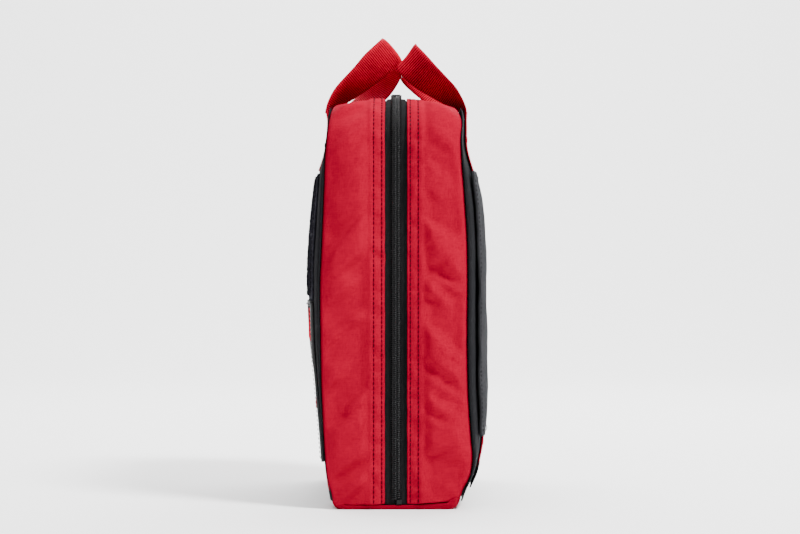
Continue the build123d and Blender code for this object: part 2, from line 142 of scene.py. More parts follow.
# ---------------------------------------------------------------- node materials
class Nodes:
    """Adds nodes to one material and links them."""

    def __init__(self, name):
        self.material = bpy.data.materials.new(name)
        self.material.use_nodes = True
        self.tree = self.material.node_tree
        self.shader = self.tree.nodes["Principled BSDF"]
        self.coords = self.add("ShaderNodeTexCoord")

    def add(self, kind, **values):
        node = self.tree.nodes.new(kind)
        for key, value in values.items():
            setattr(node, key, value)
        return node

    def link(self, source, target):
        self.tree.links.new(source, target)

    def feed(self, socket, value):
        if hasattr(value, "is_linked"):
            self.link(value, socket)
        else:
            socket.default_value = value

    def math(self, operation, a, b=None, c=None):
        node = self.add("ShaderNodeMath", operation=operation)
        for socket, value in zip(node.inputs, (a, b, c)):
            if value is not None:
                self.feed(socket, value)
        return node.outputs[0]

    def vector(self, operation, a, b=None):
        node = self.add("ShaderNodeVectorMath", operation=operation)
        for socket, value in zip(node.inputs, (a, b)):
            if value is not None:
                self.feed(socket, value)
        return node.outputs["Value" if operation == "DOT_PRODUCT" else "Vector"]

    def noise(self, scale, detail=3.0, stretch=(1, 1, 1), roughness=0.5):
        """Noise over object space, 0 to 1, with a stretch along each axis."""
        mapping = self.add("ShaderNodeMapping")
        mapping.inputs["Scale"].default_value = stretch
        self.link(self.coords.outputs["Object"], mapping.inputs["Vector"])
        node = self.add("ShaderNodeTexNoise")
        node.inputs["Scale"].default_value = scale
        node.inputs["Detail"].default_value = detail
        node.inputs["Roughness"].default_value = roughness
        self.link(mapping.outputs[0], node.inputs["Vector"])
        return node.outputs["Fac"]

    def tones(self, value, color, *stops):
        """Shades of one colour over a value: three stops, each a position and a factor."""
        node = self.add("ShaderNodeValToRGB")
        elements = node.color_ramp.elements
        elements.new(0.5)
        for element, (position, factor) in zip(elements, stops):
            element.position = position
            element.color = (*scaled(color, factor), 1)
        self.link(value, node.inputs["Fac"])
        return node.outputs["Color"]

    def weave(self, pitch):
        """Plain weave height from object space and the face's direction, -1 to 1."""
        k = 2 * math.pi / pitch
        phase = self.vector("MULTIPLY", self.coords.outputs["Object"], (k, k, k))
        waves = self.vector("SINE", phase)
        parts = self.add("ShaderNodeSeparateXYZ")
        self.link(waves, parts.inputs[0])
        x, y, z = parts.outputs
        products = self.add("ShaderNodeCombineXYZ")
        self.link(self.math("MULTIPLY", y, z), products.inputs[0])
        self.link(self.math("MULTIPLY", x, z), products.inputs[1])
        self.link(self.math("MULTIPLY", x, y), products.inputs[2])
        normal = self.coords.outputs["Normal"]
        squared = self.vector("MULTIPLY", normal, normal)
        fourth = self.vector("MULTIPLY", squared, squared)
        return self.vector("DOT_PRODUCT", products.outputs[0], fourth)

    def bump(self, height, distance, strength=1.0, under=None):
        node = self.add("ShaderNodeBump")
        node.inputs["Distance"].default_value = distance
        node.inputs["Strength"].default_value = strength
        self.link(height, node.inputs["Height"])
        if under is not None:
            self.link(under, node.inputs["Normal"])
        return node.outputs["Normal"]

    def finish(self, color, roughness, normal=None):
        self.feed(self.shader.inputs["Base Color"], color)
        self.feed(self.shader.inputs["Roughness"], roughness)
        if normal is not None:
            self.link(normal, self.shader.inputs["Normal"])


def scaled(color, factor):
    return tuple(min(1.0, c * factor) for c in color)


def soften(m, color, gloss, sheen=0.02, ior=1.15):
    """Cloth highlights: faint and in the cloth's own colour."""
    peak = max(color)
    tint = (*(0.15 + 0.85 * c / peak for c in color), 1)
    for socket, value in (("IOR", ior), ("Specular IOR Level", gloss), ("Specular Tint", tint),
                          ("Sheen Weight", sheen), ("Sheen Roughness", 0.5),
                          ("Sheen Tint", tint)):
        m.shader.inputs[socket].default_value = value


# Each look is built on its own Nodes, m; pitches and depths are in metres.
def canvas(m, color, pitch, shade=0.72, lift=1.18, gloss=0.15, rough=0.78):
    """Woven canvas: crossing thread streaks, soft tone changes and a plain weave."""
    upright = m.noise(1100, 2, (1, 1, 0.16))
    level = m.noise(1100, 2, (0.16, 0.16, 1))
    blotch = m.noise(14, 3)
    threads = m.math("MULTIPLY_ADD", m.math("ADD", upright, level), 0.34, 0.16)
    tone = m.math("MULTIPLY_ADD", m.math("SUBTRACT", blotch, 0.5), 0.35, threads)
    shades = m.tones(tone, color, (0.28, shade), (0.52, 1), (0.78, lift))
    weave = m.weave(pitch)
    height = m.math("ADD", m.math("MULTIPLY", weave, 0.5), m.math("MULTIPLY", threads, 1.6))
    fine = m.bump(height, 0.00016, 0.75)
    normal = m.bump(m.noise(48, 5), 0.0016, 0.5, fine)
    m.finish(shades, m.math("MULTIPLY_ADD", threads, 0.2, rough - 0.1), normal)
    soften(m, color, gloss)


def ribbed(m, color):
    """Nylon webbing: thread grain over ribbing that is in the mesh itself, with painted shade in
    the grooves and a painted highlight on the rib tops.
    """
    grain = m.noise(1500, 2)
    wear = m.noise(45, 4)
    rib = m.add("ShaderNodeAttribute")
    rib.attribute_name = "rib"
    tone = m.math("MULTIPLY_ADD", grain, 0.25, m.math("MULTIPLY", wear, 0.3))
    # painted shade and highlight: the rib attribute darkens the grooves and lightens the rib tops
    tone = m.math("MULTIPLY_ADD", rib.outputs["Fac"], 0.42, tone)
    # the ramp's darkest stop is the painted groove shade, its brightest the painted rib-top
    # highlight
    shades = m.tones(tone, color, (0.25, 0.12), (0.48, 1), (0.70, 2.1))
    m.finish(shades, 0.45, m.bump(m.math("ADD", grain, m.weave(0.0009)), 0.00015, 0.7))
    soften(m, color, 0.6, ior=1.12)


def moulded(m, color, rough=0.45, metal=0.0, grain=400, depth=0.00008):
    """Moulded, painted or brushed hard parts with a fine grain and worn tone."""
    speck = m.noise(grain, 3, (1, 1, 0.15) if metal else (1, 1, 1))
    wear = m.noise(30, 4)
    tone = m.math("MULTIPLY_ADD", speck, 0.4, m.math("MULTIPLY", wear, 0.6))
    shades = m.tones(tone, color, (0.3, 0.75), (0.55, 1), (0.8, 1.3))
    roughness = m.math("MULTIPLY_ADD", speck, 0.25, rough - 0.12)
    m.finish(shades, roughness, m.bump(speck, depth, 0.6))
    m.shader.inputs["Metallic"].default_value = metal
    m.shader.inputs["Specular IOR Level"].default_value = 0.5 if metal else 0.2


def pile(m, color):
    """Brushed loop pile: dark, fuzzy and slightly blue."""
    clumps = m.noise(420, 4, roughness=0.7)
    shades = m.tones(clumps, color, (0.3, 0.35), (0.55, 1), (0.8, 2.6))
    m.finish(shades, 0.9, m.bump(clumps, 0.0008, 0.9))
    soften(m, color, 0.05, 0.03)


def film(m, color, rough=0.3, metal=0.0):
    """Thin plastic or foil wrapper with crinkles."""
    crinkle = m.noise(70, 5, roughness=0.65)
    shades = m.tones(crinkle, color, (0.35, 0.8), (0.6, 1), (0.75, 1.15))
    roughness = m.math("MULTIPLY_ADD", crinkle, 0.3, rough - 0.1)
    m.finish(shades, roughness, m.bump(crinkle, 0.0012, 0.8))
    m.shader.inputs["Metallic"].default_value = metal


RED = (0.253, 0.0, 0.0148)
WEB_RED = (0.275, 0.0, 0.0125)
BLACK = (0.008, 0.008, 0.009)

RECIPES = {
    "red_canvas": (canvas, RED, 0.0007),
    # the bottom panel's canvas is the red canvas darkened to 0.8 as painted shade, for the shade
    # under the bag
    "base_canvas": (canvas, scaled(RED, 0.8), 0.0007),
    "black_canvas": (canvas, BLACK, 0.0008, 0.5, 1.9, 0.1, 0.8),
    "sleeve_canvas": (canvas, scaled(BLACK, 1.9), 0.0006, 0.6, 1.6, 0.1),
    "red_webbing": (ribbed, WEB_RED),
    "loop_pile": (pile, (0.0125, 0.0122, 0.016)),
    "laminate": (canvas, (0.05, 0.0505, 0.052), 0.0005, 0.8, 1.3, 0.2, 0.5),
    "zip_tape": (canvas, (0.0085, 0.0085, 0.009), 0.0006, 0.5, 2.0, 0.1),
    "zip_coil": (moulded, (0.0045, 0.0045, 0.005), 0.36, 0.0, 900, 0.00004),
    "zip_metal": (moulded, (0.02, 0.02, 0.022), 0.4, 0.5),
    "lining": (canvas, (0.03, 0.03, 0.033), 0.0005, 0.8, 1.3, 0.2, 0.7),
    "foam": (moulded, (0.05, 0.05, 0.05), 0.9, 0.0, 700, 0.0004),
    "mesh": (moulded, (0.015, 0.015, 0.016), 0.6),
    "elastic": (ribbed, (0.012, 0.012, 0.013)),
    "gauze": (canvas, (0.62, 0.61, 0.57), 0.0012, 0.85, 1.1, 0.2, 0.9),
    "bandage": (canvas, (0.50, 0.36, 0.22), 0.0014, 0.8, 1.15, 0.2, 0.9),
    "wrapper": (film, (0.52, 0.55, 0.54), 0.5),
    "foil": (film, (0.62, 0.64, 0.66), 0.3, 0.9),
    "glove_bag": (film, (0.06, 0.15, 0.36), 0.3),
    "tape_cloth": (canvas, (0.62, 0.60, 0.56), 0.0006, 0.88, 1.08, 0.2, 0.8),
    "cardboard": (moulded, (0.30, 0.20, 0.11), 0.85, 0.0, 260, 0.0002),
    "steel": (moulded, (0.55, 0.55, 0.56), 0.3, 1.0, 300, 0.00005),
    "black_plastic": (moulded, (0.012, 0.012, 0.013), 0.45),
    "thread": (ribbed, (0.006, 0.003, 0.004)),
}
MATERIAL_NAMES = {"base_canvas": "red base canvas", "thread": "dark thread"}
SHARED_SLOTS = {"base_canvas": "red_canvas", "sleeve_canvas": "black_canvas"}
LOOKS = {}
for look, (recipe, *numbers) in RECIPES.items():
    nodes = Nodes(MATERIAL_NAMES.get(look, look.replace("_", " ")))
    recipe(nodes, *numbers)
    LOOKS[look] = nodes.material, SHARED_SLOTS.get(look, look)


# ---------------------------------------------------------------- mesh helpers
def new_piece(name, vertices, faces, look, body, replaces=()):
    """A mesh object with a look, riding on a body, that stands for CAD nodes."""
    mesh = bpy.data.meshes.new(name)
    mesh.from_pydata([tuple(v) for v in vertices], [], [tuple(f) for f in faces])
    mesh.validate()
    mesh.update()
    for polygon in mesh.polygons:
        polygon.use_smooth = True
    piece = bpy.data.objects.new(name, mesh)
    bpy.context.scene.collection.objects.link(piece)
    dress(piece, look)
    if body:
        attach(piece, body)
    if replaces:
        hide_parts(*replaces)
    return piece


def dress(piece, look):
    """Gives a piece one of the looks."""
    material, slot = LOOKS[look]
    piece.data.materials.clear()
    piece.data.materials.append(material)


def grid_faces(rows, columns, flip=False, wrap=False):
    """Quads over a grid of rows by columns, with the columns closed round if wrap is true."""
    faces = []
    last = columns if wrap else columns - 1
    for i in range(rows - 1):
        for j in range(last):
            k = (j + 1) % columns
            face = (i * columns + j, i * columns + k, (i + 1) * columns + k, (i + 1) * columns + j)
            faces.append(face[::-1] if flip else face)
    return faces


def tube_faces(rows, columns, start=0):
    """Faces of a tube of rows by columns, closed at both ends; start is its first vertex."""
    faces = grid_faces(rows, columns, wrap=True)
    faces.append(tuple(range(columns))[::-1])
    faces.append(tuple((rows - 1) * columns + k for k in range(columns)))
    return [tuple(start + v for v in face) for face in faces]


def shell_faces(rows, columns, flip=False):
    """Faces of a closed cushion: an outer grid, an inner grid of the same size and a rim."""
    count = rows * columns
    faces = grid_faces(rows, columns, flip=flip)
    faces += [tuple(v + count for v in face)[::-1] for face in faces]
    rim = list(range(columns)) + [i * columns + columns - 1 for i in range(1, rows)]
    rim += [(rows - 1) * columns + j for j in range(columns - 2, -1, -1)]
    rim += [i * columns for i in range(rows - 2, 0, -1)]
    for a, b in zip(rim, rim[1:] + rim[:1]):
        face = (a, a + count, b + count, b)
        faces.append(face[::-1] if flip else face)
    return faces


def thicken(piece, thickness, offset=-1.0):
    """Gives a sheet its thickness, inward by default."""
    modifier = piece.modifiers.new("thickness", "SOLIDIFY")
    modifier.thickness = thickness
    modifier.offset = offset


def subdivide(piece):
    modifier = piece.modifiers.new("smooth", "SUBSURF")
    modifier.levels = 1
    modifier.render_levels = 1


def tubes(paths, radius, sides=6):
    """Vertices and faces of many round tubes, each along its own list of points."""
    vertices, faces = [], []
    for path in paths:
        path = np.asarray(path, float)
        count = len(path)
        tangent = np.gradient(path, axis=0)
        tangent /= np.linalg.norm(tangent, axis=1)[:, None] + 1e-12
        helper = (0.0, 0.0, 1.0) if abs(tangent[0][2]) < 0.9 else (0.0, 1.0, 0.0)
        side = np.cross(tangent, helper)
        side /= np.linalg.norm(side, axis=1)[:, None] + 1e-12
        up = np.cross(side, tangent)
        start = len(vertices)
        for i in range(count):
            r = radius * (0.35 if i in (0, count - 1) else 1.0)
            for k in range(sides):
                a = 2 * math.pi * k / sides
                vertices.append(path[i] + r * (math.cos(a) * side[i] + math.sin(a) * up[i]))
        faces += tube_faces(count, sides, start)
    return vertices, faces


# ---------------------------------------------------------------- the bag's outline
SIDE_RUN = HEIGHT - CORNER
TOP_RUN = 2 * (HALF_WIDTH - CORNER)
ARC_RUN = CORNER * math.pi / 2


def outline_at(s, floor):
    """Point and outward direction (x, z, nx, nz) at arc length s, from the -X foot."""
    up = SIDE_RUN - floor
    if s < up:
        return -HALF_WIDTH, floor + s, -1.0, 0.0
    s -= up
    if s < ARC_RUN:
        a = s / CORNER
        return (-HALF_WIDTH + CORNER - CORNER * math.cos(a), SIDE_RUN + CORNER * math.sin(a),
                -math.cos(a), math.sin(a))
    s -= ARC_RUN
    if s < TOP_RUN:
        return -HALF_WIDTH + CORNER + s, HEIGHT, 0.0, 1.0
    s -= TOP_RUN
    if s < ARC_RUN:
        a = s / CORNER
        return (HALF_WIDTH - CORNER + CORNER * math.sin(a), SIDE_RUN + CORNER * math.cos(a),
                math.sin(a), math.cos(a))
    s -= ARC_RUN
    return HALF_WIDTH, SIDE_RUN - s, 1.0, 0.0


def outline_length(floor):
    return 2 * (SIDE_RUN - floor) + 2 * ARC_RUN + TOP_RUN


# ---------------------------------------------------------------- gussets
STITCH_ROWS = (10.0 * MM, 15.6 * MM)
STITCH_GROOVE = 0.35 * MM
HEM_FOLD = 18 * MM         # the hem is doubled this far out from the zip's plane
HEM_RISE = 0.9 * MM
GUSSET_WALL = 1.3 * MM
BELLY = 3.2 * MM           # how far the side swells out halfway across the gusset
SEAM_ROLL = {-1: 4.0 * MM, 1: 5.5 * MM}  # radius of the turn into the panel's seam
# (depths, drops) in mm: how far the top run falls away from the zip towards each seam
TOP_DROP = {-1: ([8, 18, 25, 36, 42, 46], [2.2, 2.4, 3.6, 4.6, 5.8, 8.0]),
            1: ([8, 15, 22, 28, 35, 41, 45], [2.2, 3.2, 3.6, 4.6, 5.8, 7.6, 9.0])}
PUCKER_RISE, PUCKER_DEPTH, PUCKER_REACH = 2.6 * MM, 13 * MM, 5 * MM  # along the hem's stitches
FOLD_START = 8 * MM        # the folds reach their height this far beyond the hem
FOLD_END = 11 * MM         # and fade over this much before the seam
FOLD_LEAN = 0.75           # how far the folds slant across the gusset
FOLD_LEVEL, FOLD_SPREAD = 0.58, 0.3  # how far down the bag they are deepest, and over how much
FOLD_IN = 2.6 * MM         # they never dip further in than this
FOLD_OUT = 5.0 * MM        # nor stand further out
CRIMP = 0.5 * MM           # small gathers along the panel's seam
FOOT_TUCK = 1.4 * MM       # the sides draw in over the lowest tenth of the bag


def gusset_offset(side, s, z, nx, nz, depth, seam):
    """How far the gusset's cloth stands out from the plain outline."""
    across = (depth - HEM) / (seam - HEM)
    level = 1 - z / HEIGHT
    belly = BELLY * math.sin(math.pi * min(across * 1.02, 1.0)) * abs(nx)
    drop = float(np.interp(depth / MM, *TOP_DROP[side])) * MM * max(nz, 0.0) ** 1.5
    edge = seam - depth
    turn = SEAM_ROLL[side]
    rolled = turn - math.sqrt(max(turn**2 - max(turn - edge, 0.0) ** 2, 0.0))
    hem = HEM_RISE * (1 - smoothstep((depth - HEM_FOLD) / (2.2 * MM)))
    groove = STITCH_GROOVE * sum(math.exp(-((depth - row) / MM) ** 2) for row in STITCH_ROWS)
    pucker = PUCKER_RISE * abs(nx) * fbm(s * 110, depth * 50, side * 3.1, 2)
    pucker *= math.exp(-((depth - PUCKER_DEPTH) / PUCKER_REACH) ** 2)
    lean = FOLD_LEAN * side
    a = fbm((s + depth * lean * 0.9) * 40, (depth - s * 0.1) * 22, side * 7.7, 2)
    b = fbm((s - depth * 0.6) * 50, depth * 17, side * 4.2 + 9, 2)
    broad = fbm((s - depth * lean * 1.4) * 15, depth * 22, side * 2.6 + 4, 2)
    ridge = (1 - abs(a)) ** 3
    inner = smoothstep((depth - HEM_FOLD) / FOLD_START) * smoothstep(edge / FOLD_END)
    middle = 0.65 + 0.75 * math.exp(-((level - FOLD_LEVEL) / FOLD_SPREAD) ** 2)
    folds = (10 * b + 4 * broad - 3.6 * (ridge - 0.6)) * MM * middle * (0.3 + 0.7 * abs(nx))
    limit = FOLD_IN if folds < 0 else FOLD_OUT
    folds = limit * math.tanh(folds / limit) * inner
    crimp = CRIMP * fbm(s * 120, side, 2.0, 2) * math.exp(-((edge - 2 * MM) / (3 * MM)) ** 2)
    foot = FOOT_TUCK * smoothstep((0.10 - z / HEIGHT) / 0.10) * abs(nx)
    return belly - drop - rolled + hem - groove + pucker + folds + crimp - foot


FOOT_LIFT = {-1: -0.8 * MM, 1: 1.4 * MM}  # the bottom seam dips at the front, rises at the back
FOOT_ROUND = 6 * MM        # how the gusset's bottom corners are rounded towards the panels


def gusset_point(side, s, depth, lift=0.0):
    """A point on the gusset's outer face: arc length s, and depth from the zip's plane."""
    x, z, nx, nz = outline_at(s, BASE_SEAM)
    seam = seam_at(side, z)
    out = gusset_offset(side, s, z, nx, nz, depth, seam) + lift
    over = max(depth - (seam - FOOT_ROUND), 0.0)
    rise = FOOT_ROUND - math.sqrt(max(FOOT_ROUND**2 - over**2, 0.0))
    rise += FOOT_LIFT[side] * smoothstep(depth / (38 * MM))
    rise *= 1 - smoothstep((z - BASE_SEAM) / (16 * MM))
    return np.array((x + nx * out, side * depth, z + nz * out + rise))


def make_gusset(side):
    rows, columns = 400, 34
    length = outline_length(BASE_SEAM)
    vertices = []
    for i in range(rows):
        s = length * i / (rows - 1)
        seam = seam_at(side, outline_at(s, BASE_SEAM)[1])
        for j in range(columns):
            vertices.append(gusset_point(side, s, HEM + (seam - HEM) * j / (columns - 1)))
    half = HALF_NAME[side]
    piece = new_piece(f"{half}_gusset_cloth", vertices, grid_faces(rows, columns, flip=side > 0),
                      "red_canvas", BODY[side], [f"{half}_gusset"])
    thicken(piece, GUSSET_WALL)
    subdivide(piece)


def stitch_paths(point_at, length, pitch, dash):
    """Short dashes along a route: point_at(distance) gives each point."""
    paths = []
    for i in range(int(length / pitch)):
        start = (i + 0.5) * pitch - dash / 2
        paths.append([point_at(start + dash * k / 2) for k in range(3)])
    return paths


def make_hem_stitches(side):
    length = outline_length(BASE_SEAM)
    paths = []
    for row in STITCH_ROWS:
        paths += stitch_paths(lambda s, row=row: gusset_point(side, s, row, 0.18 * MM), length,
                              3.3 * MM, 3.0 * MM)
    new_piece(f"{HALF_NAME[side]}_hem_stitches", *tubes(paths, 0.42 * MM), "thread", BODY[side])


# ---------------------------------------------------------------- zip
TAPE_INNER = 0.1 * MM
TAPE_OUTER = 16 * MM
TAPE_INSET = 1.9 * MM
TAPE_WALL = 0.6 * MM
HEM_GAP = 1.2 * MM         # under the hem the tape stays this far below the gusset's inside
BEAD_DEPTH = 4.6 * MM      # a woven bead beside the coil
ZIP_FOOT = 3 * MM


def zip_point(side, s, depth, out):
    """A point on the zip: arc length s, signed half, depth from its plane, height out."""
    x, z, nx, nz = outline_at(s, ZIP_FOOT)
    return np.array((x + nx * out, side * depth, z + nz * out))


def make_zip_tape(side):
    rows, columns = 360, 9
    length = outline_length(ZIP_FOOT)
    vertices = []
    for i in range(rows):
        s = length * i / (rows - 1)
        _, z, nx, nz = outline_at(s, ZIP_FOOT)
        seam = seam_at(side, z)
        for j in range(columns):
            depth = TAPE_INNER + (TAPE_OUTER - TAPE_INNER) * j / (columns - 1)
            ripple = 0.25 * MM * fbm(s * 60, depth * 90, side, 2)
            bead = 0.35 * MM * math.exp(-((depth - BEAD_DEPTH) / (0.6 * MM)) ** 2)
            out = -TAPE_INSET + ripple + bead
            if depth > HEM - 0.5 * MM:
                hem = gusset_offset(side, s, z, nx, nz, max(depth, HEM), seam)
                out = min(out, hem - GUSSET_WALL - HEM_GAP)
            vertices.append(zip_point(side, s, depth, out))
    half = HALF_NAME[side]
    piece = new_piece(f"{half}_zip_tape_cloth", vertices, grid_faces(rows, columns, flip=side > 0),
                      "zip_tape", BODY[side], [f"{half}_zip_tape"])
    thicken(piece, TAPE_WALL)


TOOTH_PITCH = 1.5 * MM
# (depth, height) in mm along one turn of the coil
TOOTH_LOOP = ((3.05, 0.1), (3.2, 1.0), (2.6, 2.0), (1.2, 2.3), (0.0, 2.15), (-0.35, 1.5),
              (0.1, 0.8))
TOOTH_RADIUS = 0.43 * MM
CORD_RADIUS = 0.6 * MM     # the cord that the coil's turns go round


def make_zip_coil(side):
    """One row of coil turns, half a pitch from the other row, each hooked past the middle."""
    length = outline_length(ZIP_FOOT + 2 * MM)
    shift = 0.0 if side > 0 else TOOTH_PITCH / 2
    paths = []
    for i in range(int(length / TOOTH_PITCH) - 1):
        s = shift + i * TOOTH_PITCH + 2 * MM
        points = []
        for k, (depth, out) in enumerate(TOOTH_LOOP):
            along = (k / (len(TOOTH_LOOP) - 1) - 0.5) * TOOTH_PITCH * 0.25
            points.append(zip_point(side, s + along, depth * MM, out * MM - TAPE_INSET))
        paths.append(points)
    vertices, faces = tubes(paths, TOOTH_RADIUS)
    cord = [zip_point(side, length * i / 300 + 2 * MM, 2.1 * MM, 1.15 * MM - TAPE_INSET)
            for i in range(298)]
    more, more_faces = tubes([cord], CORD_RADIUS)
    count = len(vertices)
    vertices += more
    faces += [tuple(v + count for v in face) for face in more_faces]
    new_piece(f"{HALF_NAME[side]}_zip_coil_turns", vertices, faces, "zip_coil", BODY[side],
              [f"{HALF_NAME[side]}_zip_coil"])


# ---------------------------------------------------------------- padded panels
PANEL_TOP = HEIGHT - SHOULDER_DROP
PANEL_FOOT = 6 * MM
PANEL_STEP = 1.6 * MM      # how far the cover stands off the seam line
# in mm: over what height the foot rounds; from what height and over how much the cover gains
# its step; how far its lower corners draw in, and over what height
FOOT_SHAPE = {-1: (9, 30, 90, 2.6, 40), 1: (16, 10, 36, 1.5, 14)}


def panel_half_width(z):
    """Half the panel's width at height z, with its rounded upper corners."""
    over = np.clip(z - (PANEL_TOP - CORNER), 0, CORNER)
    return float(HALF_WIDTH - CORNER + np.sqrt(np.maximum(CORNER**2 - over**2, 0)))


def rounded(t):
    """A quarter circle's rise as t goes from 0 to 1."""
    return np.sqrt(np.maximum(1 - (1 - t) ** 2, 0))


def panel_depth(side, x, z, lift=0.0):
    """The y of a padded panel's outer face at (x, z), raised by lift."""
    seam = SEAM_DEPTH[side](z)
    bulge = BULGE_DEPTH[side](z) - seam
    half = panel_half_width(z) + 1e-6
    from_middle = np.clip(np.abs(x) / half, 0, 1)
    edge = np.clip((half - np.abs(x)) / (7 * MM), 0, 1)
    round_over, start, span, tuck, tuck_span = (value * MM for value in FOOT_SHAPE[side])
    low = np.clip((z - 5 * MM) / round_over, 0, 1)
    foot = low * np.clip((PANEL_TOP - z) / (5 * MM), 0, 1)
    roll = rounded(edge) * rounded(foot)
    step = PANEL_STEP * (1 - smoothstep((z - 228 * MM) / (26 * MM)))
    step = 0.3 * MM + step * smoothstep((z - start) / span)
    tuck *= (1 - smoothstep((z - PANEL_FOOT) / tuck_span)) * from_middle**20
    lift = lift * (0.2 + 0.8 * rounded(low))
    crown = bulge * 0.97 * (1 - from_middle**3) * roll
    return float(seam + side * (step * roll - tuck + lift) + crown)


def make_panel(side):
    """The padded panel as a closed pillow: crowned outside, flat against the foam inside."""
    rows, columns = 110, 90
    outer, inner = [], []
    for i in range(rows):
        z = PANEL_FOOT + (PANEL_TOP - 6.1 * MM) * i / (rows - 1)
        half = panel_half_width(z) - 0.8 * MM
        for j in range(columns):
            x = half * (2 * j / (columns - 1) - 1)
            depth = panel_depth(side, x, z)
            rim = min(i, rows - 1 - i, j, columns - 1 - j) / 8
            wave = 1.2 * MM * fbm(x * 18, z * 18, side * 5.0, 3) * min(rim, 1)
            outer.append((x, depth + side * wave, z))
            under = min(seam_at(side, z) - 0.2 * MM, side * depth - 0.3 * MM)
            inner.append((x, side * under, z))
    new_piece(f"{HALF_NAME[side]}_panel_pad", outer + inner,
                        shell_faces(rows, columns, side > 0), "black_canvas", BODY[side],
                        [f"{HALF_NAME[side]}_panel"])


def rounded_distance(x, z, cx, cz, half_x, half_z, radius):
    """Signed distance to a rounded rectangle, negative inside."""
    qx = np.abs(x - cx) - half_x + radius
    qz = np.abs(z - cz) - half_z + radius
    outside = np.sqrt(np.maximum(qx, 0) ** 2 + np.maximum(qz, 0) ** 2)
    return outside + np.minimum(np.maximum(qx, qz), 0) - radius


def face_limits(node, sides=0.0, bottom=0.0, top=0.0):
    """A node's box as (x0, x1, z0, z1), taken in at its sides, bottom and top."""
    low, high = box(node)
    return low[0] + sides, high[0] - sides, low[2] + bottom, high[2] - top


def make_patch(name, side, limits, radius, lift, thickness, look, replaces, step=2 * MM,
               holes=(), ripple=0.0, seed=0.0):
    """A sheet lying on a panel over a rounded rectangle, with rounded holes cut in it."""
    x0, x1, z0, z1 = limits
    columns = int((x1 - x0) / step) + 1
    rows = int((z1 - z0) / step) + 1
    xs, zs = np.meshgrid(np.linspace(x0, x1, columns), np.linspace(z0, z1, rows))
    border = ((x0 + x1) / 2, (z0 + z1) / 2, (x1 - x0) / 2, (z1 - z0) / 2, radius)

    def keep(x, z):
        """Signed distance to the cut sheet, negative on the cloth."""
        distance = rounded_distance(x, z, *border)
        for hole in holes:
            distance = np.maximum(distance, -rounded_distance(x, z, *hole))
        return distance

    distance = keep(xs, zs)
    centre = keep((xs[:-1, :-1] + xs[1:, 1:]) / 2, (zs[:-1, :-1] + zs[1:, 1:]) / 2)
    faces, used = [], set()
    for i in range(rows - 1):
        for j in range(columns - 1):
            if centre[i, j] < 0.15 * step:
                face = (i * columns + j, i * columns + j + 1, (i + 1) * columns + j + 1,
                        (i + 1) * columns + j)
                faces.append(face if side < 0 else face[::-1])
                used.update(face)
    flat = np.stack([xs.ravel(), zs.ravel()], axis=1)
    nudge = 1e-5
    for _ in range(3):      # vertices near an edge move onto it
        d = keep(flat[:, 0], flat[:, 1])
        gx = (keep(flat[:, 0] + nudge, flat[:, 1]) - d) / nudge
        gz = (keep(flat[:, 0], flat[:, 1] + nudge) - d) / nudge
        near = (d > 0) | ((np.abs(d) < 0.35 * step) & (d > -0.35 * step))
        flat[near, 0] -= (d * gx)[near]
        flat[near, 1] -= (d * gz)[near]
    order = sorted(used)
    index = {old: new for new, old in enumerate(order)}
    vertices = []
    for old in order:
        x, z = flat[old]
        wave = ripple * fbm(x * 30 + seed, z * 30, seed, 3)
        vertices.append((x, panel_depth(side, x, z, lift) + side * wave, z))
    piece = new_piece(name, vertices, [[index[v] for v in face] for face in faces], look,
                      BODY[side], replaces)
    thicken(piece, thickness, 1.0)


# ---------------------------------------------------------------- webbing
RIB_PITCH = 1.46 * MM
RIB_RISE = 0.4 * MM
WEB_THICK = 1.5 * MM
STRAP_WIDTH = 25 * MM
ALONG_X, UPRIGHT = (1.0, 0.0, 0.0), (0.0, 0.0, 1.0)


def make_webbing(name, centres, widths, width, look, body, replaces=(), curl=None,
                 thick=WEB_THICK):
    """A ribbed strap along centre points; widths are unit vectors across it, and curl is
    how far its edges bow away from the face, at each point."""
    centres, widths = np.asarray(centres, float), np.asarray(widths, float)
    steps = np.linalg.norm(np.diff(centres, axis=0), axis=1)
    distance = np.concatenate([[0], np.cumsum(steps)])
    count = max(8, int(distance[-1] / (RIB_PITCH / 5)))
    even = np.linspace(0, distance[-1], count)
    path = np.stack([np.interp(even, distance, centres[:, k]) for k in range(3)], axis=1)
    across = np.stack([np.interp(even, distance, widths[:, k]) for k in range(3)], axis=1)
    bow = np.interp(even, distance, curl) if curl is not None else np.zeros(count)
    breadth = np.interp(even, distance, np.broadcast_to(width, len(centres)))
    tangent = np.gradient(path, axis=0)
    tangent /= np.linalg.norm(tangent, axis=1)[:, None]
    across -= tangent * np.sum(across * tangent, axis=1)[:, None]
    across /= np.linalg.norm(across, axis=1)[:, None]
    face = np.cross(tangent, across)
    profile = [(u, 1) for u in np.linspace(-1, 1, 11)]
    profile += [(u, -1) for u in np.linspace(1, -1, 11)]
    vertices, rib_shade_mask = [], []
    for i in range(count):
        rib = RIB_RISE * math.sin(2 * math.pi * even[i] / RIB_PITCH)
        # rib height, 0 to 1, kept as the mask for the material's painted shade in the grooves and
        # painted highlight on the rib tops
        rib_shade_mask += [0.5 + 0.5 * rib / RIB_RISE] * len(profile)
        for u, top in profile:
            selvedge = 1 - abs(u) ** 8 * 0.55
            height = top * (thick / 2 * selvedge + rib * (1 - abs(u) ** 6)) - bow[i] * u * u
            vertices.append(path[i] + across[i] * u * breadth[i] / 2 + face[i] * height)
    piece = new_piece(name, vertices, tube_faces(count, len(profile)), look, body, replaces)
    piece.data.attributes.new("rib", "FLOAT", "POINT").data.foreach_set("value", rib_shade_mask)


